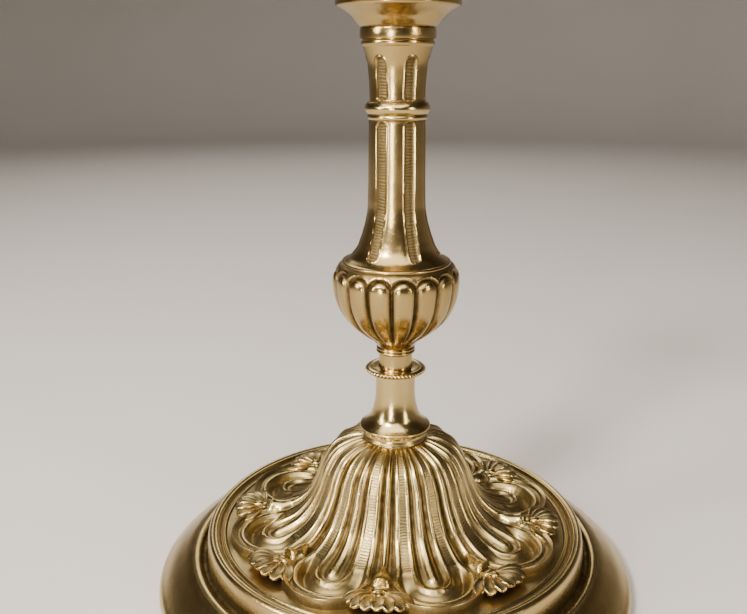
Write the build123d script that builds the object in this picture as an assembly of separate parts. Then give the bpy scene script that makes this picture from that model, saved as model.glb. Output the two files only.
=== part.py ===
"""Brass candlestick: hollow cast base, stem of turned sections on a tie rod, nozzle, drip pan.

Millimetres. +Z is up, the origin is the centre of the ring that the base stands on.
Azimuth 0 is the front, at -Y. The parts stack from the base upwards, and each one
starts at the height where the one below it ends.
"""
import os
from math import cos, radians, sin

from build123d import *

# ---- overall sizes -------------------------------------------------------------------
BASE_R = 75.0            # radius of the base at its widest
BASE_H = 48.6            # height of the base's crown
FOOT_H = 21.2            # trumpet-shaped stem foot
COLLAR_T = 1.8           # beaded collar
BULB_H = 32.2            # neck and gadrooned bulb
SHAFT_H = 41.2           # fluted shaft
KNOP_H = 5.0             # half-round ring
CAPITAL_H = 19.6         # fluted capital
NOZZLE_H = 38.4          # nozzle, from the capital to its lip
PHASE = -5.1             # azimuth of the first main ridge of the base, degrees
FLUTE_PHASE = 26.0       # azimuth of the first flute of shaft and capital, degrees

# ---- clearances ----------------------------------------------------------------------
REGISTER_GAP = 0.05      # radial, between a spigot and its recess
SEAT_GAP = 0.2           # depth left under a spigot
ROD_GAP = 0.3            # radial, between the tie rod and the sections
THREAD_GAP = 0.02        # radial, between plain cylinders that stand for threads
SLEEVE_GAP = 0.15        # radial, between the drip pan's sleeve and the nozzle

# ---- base ----------------------------------------------------------------------------
OVOLO_W = 11.3           # broad convex outer band
OVOLO_H = 13.2
EDGE_Z = 3.6             # height of the widest point
FILLET_W = 2.2           # flat fillet inside the band
QUIRK_W = 2.0            # deep groove between the fillet and the roll
QUIRK_Z = 11.2
ROLL_W = 4.3             # raised roll
ROLL_H = 20.1
COVE_W = 2.8             # hollow between the roll and the petals
COVE_Z = 18.8
PETAL_W = 15.0           # ring of petals
PETAL_Z = 21.3           # height of the petals' rims
DISH_R = 8.0             # section radius of a petal's hollow
DISH_DEEP = 3.7
DISH_TURN = 24.0         # degrees that a hollow runs round
DISH_STEP = 0.1          # its round ends are this much smaller, so no surfaces just touch
SECTORS = 8
CROWN_R = 10.0
CROWN_T = 6.0            # solid boss under the stem
WALL = 2.8
RIM_LAND = 2.6           # width of the ring that the base stands on
GROOVE_R = 0.85          # grooves between ridges and ribs
GROOVE_OUT = 0.35        # how far a groove's centre line lies off the surface
GROOVE_STEP = 5.0        # degrees from a ridge or rib to the groove beside it
LEAF_R = 1.15            # lobes of the palmettes
LEAF_TURNS = (-52.0, -27.0, 0.0, 27.0, 52.0)
LEAF_LONG = 10.5
LEAF_RISE = 1.9

# ---- tie rod and its fixings -----------------------------------------------------------
ROD_R = 2.5
ROD_ENGAGE = 6.0         # length screwed into the nozzle
ROD_TAIL = 3.0           # length standing out below the nut
WASHER_R = 3.2 * ROD_R
WASHER_T = 1.2
NUT_FLATS = 3.2 * ROD_R
NUT_H = 1.6 * ROD_R

# ---- stem ----------------------------------------------------------------------------
SPIGOT_WALL = 1.2        # registers of the slim sections
BIG_SPIGOT_WALL = 2.7    # registers of shaft and capital
SPIGOT_H = 2.0
FOOT_FLANGE_R = 10.9
FOOT_NECK_WALL = 2.0     # round the register's recess, where the foot is slimmest
COLLAR_R = 9.3
BEADS = 48
BEAD_CUT_R = 0.33
NECK_WALL = 1.2          # round the register's recess in the bulb's neck
BULB_R = 18.9
SHOULDER_R = 16.4
GADROONS = 16
GADROON_PHASE = 7.2
GADROON_CUT_R = 1.5
GADROON_CUT_OUT = 0.8
SHAFT_R = 8.2
FLUTES = 6
FLUTE_CUT_R = 1.8
FLUTE_CUT_OUT = 1.1
KNOP_R = 9.3
KNOP_ROOT_R = 7.9
CAPITAL_R = 7.9
CAPITAL_TOP_R = 10.6
BAND_H = 3.2

# ---- nozzle and drip pan ---------------------------------------------------------------
SAUCER_W = 3.6           # from the cup's foot out to the saucer's rim
SAUCER_H = 5.8
SAUCER_RIM_H = 2.6
CUP_WALL = 2.7
CUP_FOOT_WALL = 1.4
LIP_W = 4.3
LIP_H = 3.2
CUP_FLOOR = 9.0          # solid floor of the nozzle
CANDLE_R = 11.25         # socket for a candle of 22 mm
SLEEVE_WALL = 0.9
SLEEVE_H = 24.0
PAN_W = 14.85            # from the sleeve out to the pan's edge
PAN_T = 1.3
PAN_RISE = 4.6
PAN_BEAD_R = 1.1

# ---- heights that follow ---------------------------------------------------------------
FOOT_Z = BASE_H
COLLAR_Z = FOOT_Z + FOOT_H
BULB_Z = COLLAR_Z + COLLAR_T
SHAFT_Z = BULB_Z + BULB_H
KNOP_Z = SHAFT_Z + SHAFT_H
CAPITAL_Z = KNOP_Z + KNOP_H
NOZZLE_Z = CAPITAL_Z + CAPITAL_H
LIP_Z = NOZZLE_Z + NOZZLE_H

# ---- radii of the stem, nozzle and pan that follow ---------------------------------------
ROD_BORE_R = ROD_R + ROD_GAP
SPIGOT_R = ROD_BORE_R + SPIGOT_WALL
BIG_SPIGOT_R = ROD_BORE_R + BIG_SPIGOT_WALL
FOOT_NECK_R = SPIGOT_R + FOOT_NECK_WALL
NECK_R = SPIGOT_R + NECK_WALL
SLEEVE_R = CANDLE_R + SLEEVE_WALL
CUP_BORE_R = SLEEVE_R + SLEEVE_GAP
CUP_R = CUP_BORE_R + CUP_WALL
CUP_FOOT_R = CUP_BORE_R + CUP_FOOT_WALL
LIP_R = CUP_BORE_R + LIP_W
SAUCER_R = CUP_FOOT_R + SAUCER_W
PAN_R = SLEEVE_R + PAN_W

# ---- radii of the base that follow -----------------------------------------------------
OVOLO_R = BASE_R - OVOLO_W
FILLET_R = OVOLO_R - FILLET_W
QUIRK_R = FILLET_R - QUIRK_W
ROLL_R = QUIRK_R - ROLL_W
PETAL_R = ROLL_R - COVE_W
BELL_R = PETAL_R - PETAL_W

# Share of the way out, and of the way up, along the bell from the petals to the crown.
BELL_LAW = ((0.0, 1.0), (0.32, 0.905), (0.47, 0.70), (0.57, 0.44), (0.71, 0.19), (1.0, 0.0))


def at(r, z):
    """A point of a section that is turned about Z."""
    return (r, 0, z)


def lines(*points):
    """A chain of straight edges."""
    return Polyline(*[at(r, z) for r, z in points]).edges()


def curve(*points, start=None, end=None):
    """One smooth edge through the points, with the slopes at its ends where they matter."""
    through = [at(r, z) for r, z in points]
    if start is None:
        return Spline(*through).edges()
    return Spline(*through, tangents=(at(*start), at(*end))).edges()


def arc(start, middle, end):
    """One circular edge."""
    return ThreePointArc(at(*start), at(*middle), at(*end)).edges()


def turned(*runs):
    """The solid that a closed chain of edges makes when it is turned about Z."""
    edges = [edge for run in runs for edge in run]
    return revolve(make_face(edges), Axis.Z, 360)


def tube(outer, inner, low, high):
    """A plain hollow cylinder on the axis."""
    return turned(lines((inner, low), (outer, low), (outer, high), (inner, high), (inner, low)))


def pin(r, low, high):
    """A plain cylinder on the axis."""
    return Pos(0, 0, (low + high) / 2) * Cylinder(r, high - low)


def round_axis(shape, count, first):
    """Copies of a shape that lies in the +X half of the XZ plane, at even azimuths."""
    step = 360 / count
    return [Rot(0, 0, -90 + first + step * n) * shape for n in range(count)]


def channel(radius, off, points):
    """A round cutter that runs off the surface by a set amount, along a meridian."""
    path = Spline(*[at(r + off, z) for r, z in points])
    start = Plane(origin=path @ 0, z_dir=path % 0)
    return sweep(start * Circle(radius), path=path)


def bell_points(shrink=0.0):
    """Points of the bell's outline, from the crown outwards."""
    rise = BASE_H - PETAL_Z
    reach = BELL_R - CROWN_R
    return [(CROWN_R + out * reach - shrink, PETAL_Z + up * rise) for out, up in BELL_LAW]


def base():
    """Hollow cast base: bell with ridges, ring of petals, cove, roll, quirk, fillet, ovolo."""
    bell = bell_points()
    rim = PETAL_R - 1.2
    under = PETAL_Z - DISH_DEEP - WALL
    top = BASE_H - CROWN_T
    skirt_r = BASE_R - RIM_LAND
    hollow = [(b[0] - WALL, b[1] - WALL) for b in bell[2:4]]
    skin = turned(
        lines((ROD_BORE_R, top), (ROD_BORE_R, BASE_H), bell[0]),
        curve(*bell, start=(1.0, -0.15), end=(1.0, -0.1)),
        lines(bell[-1], (rim, PETAL_Z + 0.3)),
        arc((rim, PETAL_Z + 0.3), (PETAL_R - 0.2, PETAL_Z - 0.3), (PETAL_R, PETAL_Z - 1.2)),
        arc((PETAL_R, PETAL_Z - 1.2), (PETAL_R + 0.8, COVE_Z), (ROLL_R, COVE_Z + 0.3)),
        arc((ROLL_R, COVE_Z + 0.3), (ROLL_R + 0.55 * ROLL_W, ROLL_H), (QUIRK_R, ROLL_H - 2.6)),
        lines((QUIRK_R, ROLL_H - 2.6), (QUIRK_R, QUIRK_Z), (FILLET_R, QUIRK_Z)),
        lines((FILLET_R, QUIRK_Z), (FILLET_R, OVOLO_H - 0.4), (OVOLO_R, OVOLO_H)),
        arc((OVOLO_R, OVOLO_H), (OVOLO_R + 0.55 * OVOLO_W, OVOLO_H - 4.4), (BASE_R, EDGE_Z)),
        lines((BASE_R, EDGE_Z), (BASE_R - 0.3, 0.0), (skirt_r, 0.0), (skirt_r, 2.0)),
        lines(
            (skirt_r, 2.0),
            (OVOLO_R - 1.0, QUIRK_Z - WALL),
            (QUIRK_R - WALL, QUIRK_Z - WALL),
            (QUIRK_R - WALL - 0.4, COVE_Z - WALL),
            (PETAL_R - 3.2, under),
            (BELL_R - 2.0, under),
            hollow[1],
            hollow[0],
            (CROWN_R + 4.0, top),
            (ROD_BORE_R, top),
        ),
    )
    seat = pin(SPIGOT_R + REGISTER_GAP, BASE_H - SPIGOT_H - SEAT_GAP, BASE_H + 1)
    sector = 360 / SECTORS
    grooves = []
    for side in (-GROOVE_STEP, GROOVE_STEP):
        groove = channel(GROOVE_R, GROOVE_OUT, bell[1:])
        grooves += round_axis(groove, SECTORS, PHASE + side)
        grooves += round_axis(groove, SECTORS, PHASE + sector / 2 + side)
    dish_r = BELL_R + 0.52 * PETAL_W
    dish_z = PETAL_Z - DISH_DEEP + DISH_R
    ring = Plane.XZ * Pos(dish_r, dish_z) * Circle(DISH_R)
    dish = Rot(0, 0, -DISH_TURN / 2) * revolve(ring, Axis.Z, DISH_TURN)
    for end in (-DISH_TURN / 2, DISH_TURN / 2):
        dish += Rot(0, 0, end) * Pos(dish_r, 0, dish_z) * Sphere(DISH_R - DISH_STEP)
    dishes = round_axis(dish, SECTORS, PHASE + sector / 2)
    body = skin - seat - dishes - grooves
    return body + round_axis(palmette(), SECTORS, PHASE)


def palmette():
    """One fan of leaf lobes beyond the end of a main ridge."""
    fan = None
    for turn in LEAF_TURNS:
        long = LEAF_LONG * (1.0 - 0.22 * abs(turn) / max(LEAF_TURNS))
        reach = long * cos(radians(turn))
        across = long * sin(radians(turn))
        start = Vector(BELL_R + 1.5, 0, PETAL_Z)
        end = start + Vector(reach, across, LEAF_RISE - LEAF_R)
        path = Line(start, end)
        lobe = sweep(Plane(origin=start, z_dir=end - start) * Circle(LEAF_R), path=path)
        lobe += Pos(*end) * Sphere(LEAF_R)
        fan = lobe if fan is None else fan + lobe
    return fan + Pos(BELL_R + 1.5, 0, PETAL_Z) * Sphere(LEAF_R + 0.5)


def base_washer():
    """Plain washer under the crown."""
    top = BASE_H - CROWN_T
    return tube(WASHER_R, ROD_BORE_R, top - WASHER_T, top)


def base_nut():
    """Hexagon nut that pulls the whole stack together."""
    top = BASE_H - CROWN_T - WASHER_T
    blank = Pos(0, 0, top - NUT_H) * extrude(RegularPolygon(NUT_FLATS / 2, 6, major_radius=False), NUT_H)
    return blank - pin(ROD_R + THREAD_GAP, top - NUT_H - 1, top + 1)


def tie_rod():
    """Threaded rod, drawn plain, from below the nut into the nozzle's floor."""
    low = BASE_H - CROWN_T - WASHER_T - NUT_H - ROD_TAIL
    rod = pin(ROD_R, low, NOZZLE_Z + ROD_ENGAGE)
    return chamfer(rod.edges(), 0.4)


def stem_foot():
    """Trumpet foot: hollow band, thin flange, and a flare up to a slim neck."""
    z = FOOT_Z
    top = z + FOOT_H
    flange = FOOT_FLANGE_R
    body = turned(
        lines((0, z), (CROWN_R, z)),
        arc((CROWN_R, z), (CROWN_R - 0.5, z + 1.9), (flange - 0.3, z + 3.5)),
        arc((flange - 0.3, z + 3.5), (flange, z + 4.0), (flange - 0.4, z + 4.5)),
        curve(
            (flange - 0.4, z + 4.5),
            (FOOT_NECK_R + 1.6, z + 6.4),
            (FOOT_NECK_R + 0.6, z + 10.4),
            (FOOT_NECK_R, z + 16.0),
            (FOOT_NECK_R + 0.1, top),
        ),
        lines((FOOT_NECK_R + 0.1, top), (0, top), (0, z)),
    )
    body += pin(SPIGOT_R, z - SPIGOT_H, z)
    body += pin(SPIGOT_R, top, top + COLLAR_T + SPIGOT_H)
    return body - pin(ROD_BORE_R, z - SPIGOT_H - 1, top + COLLAR_T + SPIGOT_H + 1)


def beaded_collar():
    """Thin ring with a row of beads round its edge."""
    z = COLLAR_Z
    half = COLLAR_T / 2
    bore = SPIGOT_R + REGISTER_GAP
    ring = turned(
        lines((bore, z), (COLLAR_R - half, z)),
        arc((COLLAR_R - half, z), (COLLAR_R, z + half), (COLLAR_R - half, z + COLLAR_T)),
        lines((COLLAR_R - half, z + COLLAR_T), (bore, z + COLLAR_T), (bore, z)),
    )
    notch = Pos(COLLAR_R, 0, z + half) * Cylinder(BEAD_CUT_R, COLLAR_T + 1)
    return ring - round_axis(notch, BEADS, 0)


def bulb():
    """Neck, small double ring, and the bulb with its gadroons."""
    z = BULB_Z
    top = z + BULB_H
    ring_z = z + 4.4
    side = [
        (NECK_R + 0.6, ring_z + 2.2),
        (NECK_R + 2.6, ring_z + 4.5),
        (0.66 * BULB_R, ring_z + 8.6),
        (0.89 * BULB_R, ring_z + 13.9),
        (BULB_R, ring_z + 22.6),
        (SHOULDER_R + 0.9, top - 1.2),
    ]
    body = turned(
        lines((0, z), (NECK_R, z), (NECK_R, ring_z)),
        arc((NECK_R, ring_z), (NECK_R + 0.6, ring_z + 0.5), (NECK_R + 0.2, ring_z + 1.0)),
        arc((NECK_R + 0.2, ring_z + 1.0), (NECK_R + 0.9, ring_z + 1.6), side[0]),
        curve(*side),
        lines(side[-1], (SHOULDER_R, top - 0.6), (SHOULDER_R, top), (0, top), (0, z)),
    )
    cut = channel(GADROON_CUT_R, GADROON_CUT_OUT, side[1:5])
    body -= round_axis(cut, GADROONS, GADROON_PHASE + 180 / GADROONS)
    body -= pin(SPIGOT_R + REGISTER_GAP, z - 1, z + SPIGOT_H + SEAT_GAP)
    body += pin(BIG_SPIGOT_R, top, top + SPIGOT_H)
    return body - pin(ROD_BORE_R, z - 1, top + SPIGOT_H + 1)


def shaft():
    """Slender fluted shaft that flares down to the bulb's shoulder."""
    z = SHAFT_Z
    top = z + SHAFT_H
    side = [
        (SHOULDER_R - 0.9, z + 1.3),
        (SHAFT_R + 3.4, z + 3.8),
        (SHAFT_R + 1.8, z + 9.6),
        (SHAFT_R + 0.5, z + 15.6),
        (SHAFT_R + 0.1, z + 24.0),
        (SHAFT_R - 0.1, top),
    ]
    body = turned(
        lines((0, z), (SHOULDER_R - 0.4, z)),
        arc((SHOULDER_R - 0.4, z), (SHOULDER_R, z + 0.7), side[0]),
        curve(*side),
        lines(side[-1], (0, top), (0, z)),
    )
    cut = channel(FLUTE_CUT_R, FLUTE_CUT_OUT, side[1:5] + [(side[5][0], top - 1.6)])
    body -= round_axis(cut, FLUTES, FLUTE_PHASE)
    body -= pin(BIG_SPIGOT_R + REGISTER_GAP, z - 1, z + SPIGOT_H + SEAT_GAP)
    body += pin(BIG_SPIGOT_R, top, top + KNOP_H + SPIGOT_H)
    return body - pin(ROD_BORE_R, z - 1, top + KNOP_H + SPIGOT_H + 1)


def knop_ring():
    """Half-round ring between shaft and capital."""
    z = KNOP_Z
    bore = BIG_SPIGOT_R + REGISTER_GAP
    low = z + 0.6
    high = z + KNOP_H - 0.6
    return turned(
        lines((bore, z), (KNOP_ROOT_R, z), (KNOP_ROOT_R, low)),
        arc((KNOP_ROOT_R, low), (KNOP_R, (low + high) / 2), (KNOP_ROOT_R, high)),
        lines((KNOP_ROOT_R, high), (KNOP_ROOT_R, z + KNOP_H), (bore, z + KNOP_H), (bore, z)),
    )


def capital():
    """Fluted capital that opens upwards to a plain bright band."""
    z = CAPITAL_Z
    top = z + CAPITAL_H
    band = top - BAND_H
    side = [
        (CAPITAL_R - 0.2, z + 1.0),
        (CAPITAL_R, z + 5.5),
        (CAPITAL_R + 0.3, z + 9.5),
        (CAPITAL_R + 1.1, z + 12.6),
        (CAPITAL_TOP_R - 0.7, band - 1.6),
    ]
    body = turned(
        lines((0, z), (CAPITAL_R, z), (CAPITAL_R, z + 0.7), side[0]),
        curve(*side),
        arc(side[-1], (CAPITAL_TOP_R - 0.1, band - 1.0), (CAPITAL_TOP_R - 0.2, band)),
        lines((CAPITAL_TOP_R - 0.2, band), (CAPITAL_TOP_R, band)),
        lines((CAPITAL_TOP_R, band), (CAPITAL_TOP_R, top), (0, top), (0, z)),
    )
    cut = channel(FLUTE_CUT_R, FLUTE_CUT_OUT, side[1:4])
    body -= round_axis(cut, FLUTES, FLUTE_PHASE)
    body -= pin(BIG_SPIGOT_R + REGISTER_GAP, z - 1, z + SPIGOT_H + SEAT_GAP)
    body += pin(BIG_SPIGOT_R, top, top + SPIGOT_H)
    return body - pin(ROD_BORE_R, z - 1, top + SPIGOT_H + 1)


def nozzle():
    """Saucer-shaped foot, cup with a flared lip, and the bore that takes the sleeve."""
    z = NOZZLE_Z
    rim = z + SAUCER_H
    step = rim + SAUCER_RIM_H
    floor = z + CUP_FLOOR
    lip = LIP_Z - LIP_H
    body = turned(
        lines((0, z), (CAPITAL_TOP_R - 0.1, z)),
        curve(
            (CAPITAL_TOP_R - 0.1, z),
            (CAPITAL_TOP_R + 1.2, z + 2.4),
            (SAUCER_R - 2.6, rim - 1.6),
            (SAUCER_R, rim),
        ),
        arc((SAUCER_R, rim), (SAUCER_R + 0.2, rim + SAUCER_RIM_H / 2), (SAUCER_R - 0.4, step)),
        lines((SAUCER_R - 0.4, step), (CUP_FOOT_R + 0.8, step + 0.8), (CUP_FOOT_R, step + 1.8)),
        curve(
            (CUP_FOOT_R, step + 1.8),
            (CUP_R - 0.6, step + 6.0),
            (CUP_R, (step + lip) / 2),
            (CUP_R - 0.8, lip - 1.5),
        ),
        arc((CUP_R - 0.8, lip - 1.5), (CUP_R + 0.2, lip + 1.0), (LIP_R, LIP_Z - 1.0)),
        lines((LIP_R, LIP_Z - 1.0), (LIP_R, LIP_Z), (CUP_BORE_R, LIP_Z), (CUP_BORE_R, floor)),
        lines((CUP_BORE_R, floor), (0, floor), (0, z)),
    )
    body -= pin(BIG_SPIGOT_R + REGISTER_GAP, z - 1, z + SPIGOT_H + SEAT_GAP)
    return body - pin(ROD_R + THREAD_GAP, z - 1, z + ROD_ENGAGE + SEAT_GAP)


def drip_pan():
    """Loose pan with a sleeve that drops into the nozzle and holds the candle."""
    z = LIP_Z
    edge = z + PAN_RISE
    under = [(SLEEVE_R + 6.5, z), (PAN_R - 4.0, z + 0.8), (PAN_R - 0.6, edge - 0.5)]
    over = [
        (PAN_R - 1.5, edge),
        (PAN_R - 4.6, z + PAN_T + 0.9),
        (CANDLE_R + 6.5, z + PAN_T),
    ]
    dish = turned(
        lines((CANDLE_R, z - SLEEVE_H), (SLEEVE_R, z - SLEEVE_H), (SLEEVE_R, z), under[0]),
        curve(*under),
        lines(under[-1], over[0]),
        curve(*over),
        lines(over[-1], (CANDLE_R, z + PAN_T), (CANDLE_R, z - SLEEVE_H)),
    )
    bead_at = Plane.XZ * Pos(PAN_R - PAN_BEAD_R, edge) * Circle(PAN_BEAD_R)
    return dish + revolve(bead_at, Axis.Z, 360)


PIECES = {
    "base": base,
    "base_washer": base_washer,
    "base_nut": base_nut,
    "tie_rod": tie_rod,
    "stem_foot": stem_foot,
    "beaded_collar": beaded_collar,
    "bulb": bulb,
    "shaft": shaft,
    "knop_ring": knop_ring,
    "capital": capital,
    "nozzle": nozzle,
    "drip_pan": drip_pan,
}

os.makedirs("parts", exist_ok=True)
for node, make in PIECES.items():
    piece = make()
    export_step(piece, f"parts/{node}.step")
    box = piece.bounding_box()
    print(node, len(piece.solids()), "solid", round(piece.volume, 1), "mm3",
          "z", round(box.min.Z, 2), "to", round(box.max.Z, 2))
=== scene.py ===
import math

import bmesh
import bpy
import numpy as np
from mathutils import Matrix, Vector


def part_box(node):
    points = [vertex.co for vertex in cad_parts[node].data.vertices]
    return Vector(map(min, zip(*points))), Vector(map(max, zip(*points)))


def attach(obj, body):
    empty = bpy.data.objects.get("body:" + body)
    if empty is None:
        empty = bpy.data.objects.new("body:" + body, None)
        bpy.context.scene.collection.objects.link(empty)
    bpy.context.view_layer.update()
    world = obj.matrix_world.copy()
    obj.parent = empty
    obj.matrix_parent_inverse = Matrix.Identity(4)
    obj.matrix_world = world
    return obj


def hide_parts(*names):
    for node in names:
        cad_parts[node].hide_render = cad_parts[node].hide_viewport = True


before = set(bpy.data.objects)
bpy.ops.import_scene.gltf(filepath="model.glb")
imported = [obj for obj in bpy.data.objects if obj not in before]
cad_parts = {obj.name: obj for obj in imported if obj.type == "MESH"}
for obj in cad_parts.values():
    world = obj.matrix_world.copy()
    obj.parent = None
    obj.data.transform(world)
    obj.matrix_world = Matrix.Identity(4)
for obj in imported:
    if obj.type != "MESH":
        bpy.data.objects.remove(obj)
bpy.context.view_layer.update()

# %% [markdown]
# # A cast and chased brass candlestick
#
# The candlestick is a stack: a hollow cast base, a stem of five castings and rings, a nozzle
# and a loose drip pan, all pulled together by a steel tie rod. The solid model already says
# how large each part is and where it sits. This lesson makes the surfaces that a person sees:
# ridges and textured bands on the base, palmettes, gadroons on the bulb, flutes on the shaft,
# and brass that is bright on its ridges and dark in its hollows.
#
# Nearly every part is a turned form with a relief on it. So one idea carries the lesson: take
# a closed section in the (radius, height) plane, turn it round the axis as a grid of points,
# and push each point along its own outward direction by a relief worked out from its azimuth
# and its place on the section. All of it is done on whole numpy arrays.

MM = 0.001
STAND = "stand"
PAN = "drip_pan"


# %% [markdown]
# ## Sizes come from the solid model
#
# Each CAD node has a box, and the box of a round part gives its largest radius and its two
# heights. Reading them here means that a part never drifts away from the one it stands on.

# %% Radii and heights of the nodes, in millimetres
def reach(node):
    """Largest radius of a round node."""
    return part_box(node)[1].x / MM


def span(node):
    """Lowest and highest point of a node."""
    low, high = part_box(node)
    return low.z / MM, high.z / MM


BASE_R = reach("base")
BASE_H = span("base")[1]
COLLAR_Z, BULB_Z = span("beaded_collar")
KNOP_Z, CAPITAL_Z = span("knop_ring")
SHAFT_Z = span("shaft")[0]
NOZZLE_Z, LIP_Z = span("nozzle")
PAN_LOW, PAN_TOP = span("drip_pan")
ROD_BORE_R = 2.8            # the tie rod's hole through the base and every stem section
print("stem joints at z =", [round(z, 1) for z in
      (BASE_H, COLLAR_Z, BULB_Z, SHAFT_Z, KNOP_Z, CAPITAL_Z, NOZZLE_Z, LIP_Z)])

# %% [markdown]
# ## Lines for the sections
#
# A section is drawn with three kinds of run: straight, bowed (a shallow arc with a stated
# height of bow) and a smooth line through a few points. The smooth line is a cubic Hermite
# curve: between two points it leaves each one along the slope of its neighbours. Each run
# names only the points it goes to, and starts where the last one ended.


# %% Runs of a section
def straight(*end, count=2):
    """Evenly spaced points: start plus t times (end minus start)."""
    def run(start):
        t = np.linspace(0, 1, count)[:, None]
        return np.array(start) * (1 - t) + np.array(end) * t
    return run


def bowed(*end, bow, count=9):
    """A straight run pushed to its left by 4 t (1 - t) times the bow, so bow is its height."""
    def run(start):
        t = np.linspace(0, 1, count)[:, None]
        ahead = np.subtract(end, start) / np.linalg.norm(np.subtract(end, start))
        left = np.array([-ahead[1], ahead[0]])
        return straight(*end, count=count)(start) + 4 * t * (1 - t) * bow * left
    return run


def through(*points, count):
    """Cubic Hermite curve through the start and the points, evenly spaced by chord length."""
    def run(start):
        p = np.array([start, *points], float)
        s = np.concatenate([[0], np.cumsum(np.linalg.norm(np.diff(p, axis=0), axis=1))])
        slope = np.gradient(p, s, axis=0)
        at = np.linspace(0, s[-1], count)
        i = np.clip(np.searchsorted(s, at, side="right") - 1, 0, len(s) - 2)
        h = (s[i + 1] - s[i])[:, None]
        t = (at - s[i])[:, None] / h
        ends = (2 * t**3 - 3 * t**2 + 1) * p[i] + (3 * t**2 - 2 * t**3) * p[i + 1]
        return ends + (t**3 - 2 * t**2 + t) * h * slope[i] + (t**3 - t**2) * h * slope[i + 1]
    return run


def section(start, *runs):
    """The points of all runs, each without its last, which the next run starts with."""
    points = []
    for run in runs:
        points.append(run(start))
        start = points[-1][-1]
    return np.vstack([part[:-1] for part in points])


# %% Easing and stations
def ease(t):
    """3 t^2 - 2 t^3, held at 0 before t = 0 and at 1 after t = 1."""
    t = np.clip(t, 0, 1)
    return t * t * (3 - 2 * t)


def eased_stations(x, places, heights):
    """Heights at stated places, with an ease between each neighbouring pair."""
    places, heights = np.array(places), np.array(heights)
    i = np.clip(np.searchsorted(places, x, side="right") - 1, 0, len(places) - 2)
    t = ease((x - places[i]) / (places[i + 1] - places[i]))
    return heights[i] + (heights[i + 1] - heights[i]) * t


def from_nearest(azimuth, count, first):
    """Signed degrees from the nearest of `count` evenly spaced azimuths, of which one is first."""
    step = 360 / count
    return (azimuth - first + step / 2) % step - step / 2


# %% [markdown]
# ## From a grid of points to a mesh
#
# A turned part is a grid: rows run along the section, columns run round the axis, and both
# wrap, so the mesh is closed like a ring with no seam and no pole. The rows go down the
# outside, and the columns go anticlockwise seen from above, which makes every face point
# outwards. Three numbers ride on each point for the materials: `hollow`, how deep it lies in
# a recess, which the brass turns into patina and painted shade, and which also carries painted
# shade under rims, inside the castings and beside joints; `matted`, how much of the chaser's
# texture it carries; and `along`, the distance down the section in millimetres, which the
# texture's rungs are counted on.


# %% Grid to mesh
def grid_mesh(name, points, masks, wrap_rows=True):
    """Quads between neighbouring rows and columns; columns always wrap round the axis."""
    rows, columns = points.shape[:2]
    i = np.arange(rows if wrap_rows else rows - 1)[:, None]
    j = np.arange(columns)[None, :]
    below, beside = (i + 1) % rows, (j + 1) % columns
    corners = [i * columns + j, below * columns + j, below * columns + beside,
               i * columns + beside]
    quads = np.stack(np.broadcast_arrays(*corners), axis=-1).reshape(-1, 4)
    return mesh_object(name, points.reshape(-1, 3), quads, masks)


def mesh_object(name, points, quads, masks):
    """A smooth-shaded object from points in millimetres, quads, and named values per point."""
    mesh = bpy.data.meshes.new(name)
    mesh.vertices.add(len(points))
    mesh.vertices.foreach_set("co", (points * MM).astype(np.float32).ravel())
    mesh.loops.add(quads.size)
    mesh.loops.foreach_set("vertex_index", quads.astype(np.int32).ravel())
    mesh.polygons.add(len(quads))
    mesh.polygons.foreach_set("loop_start", np.arange(0, quads.size, 4, dtype=np.int32))
    mesh.polygons.foreach_set("use_smooth", np.ones(len(quads), bool))
    for key, values in masks.items():
        layer = mesh.attributes.new(key, "FLOAT", "POINT")
        layer.data.foreach_set("value", np.ravel(values).astype(np.float32))
    mesh.update(calc_edges=True)
    mesh.validate()
    thing = bpy.data.objects.new(name, mesh)
    bpy.context.scene.collection.objects.link(thing)
    print(f"{name}: {len(quads) * 2} triangles")
    return thing


# %% Turning a section, with a relief
TURNED_CREASE = 35          # degrees; a sharper edge is shaded as a corner


def outward(outline):
    """Unit vectors to the left of the way the closed outline runs, which is out of the metal."""
    ahead = np.roll(outline, -1, axis=0) - np.roll(outline, 1, axis=0)
    ahead /= np.linalg.norm(ahead, axis=1)[:, None]
    return np.stack([-ahead[:, 1], ahead[:, 0]], axis=1)


def all_round(columns):
    """One row of azimuths in degrees: 0 is the front, at -Y, and 90 is at +X."""
    return np.linspace(-180, 180, columns, endpoint=False)[None, :]


def placed(radius, height, azimuth):
    """x = r sin a, y = -r cos a and z = height, for every point of a grid."""
    a = np.radians(azimuth)
    return np.stack([radius * np.sin(a), -radius * np.cos(a), height], axis=-1)


def turned(name, outline, columns, relief):
    """The outline goes all round, each (r, z) pushed outwards by relief(r, z, azimuth)."""
    azimuth = all_round(columns)
    r, z = outline[:, :1], outline[:, 1:]
    lift, hollow, matted = relief(r, z, azimuth)
    push = outward(outline)
    points = placed(r + lift * push[:, :1], z + lift * push[:, 1:], azimuth)
    steps = np.linalg.norm(np.diff(outline, axis=0, prepend=outline[:1]), axis=1)
    masks = {"hollow": hollow, "matted": matted, "along": np.cumsum(steps)[:, None] + 0 * azimuth}
    thing = grid_mesh(name, points, masks)
    thing.data.set_sharp_from_angle(angle=math.radians(TURNED_CREASE))
    return thing


# %% [markdown]
# ## The pattern of one petal
#
# The base is cast with eight petals. A bright ridge runs down between two petals and ends in
# a drop. A rib runs down the middle of each petal. Between them lie, in turn, a groove, a
# thin edge, a textured band, another thin edge and another groove. Where the rib ends, all
# of these bend round its end as nested U shapes, and the textured band opens into a smooth
# scoop. That is why the pattern is drawn with one number, g: the distance from the rib,
# measured sideways while the rib lasts and from the rib's end point after it, over the
# petal's half width. A list of heights at stations of g then draws every line at once.

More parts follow.
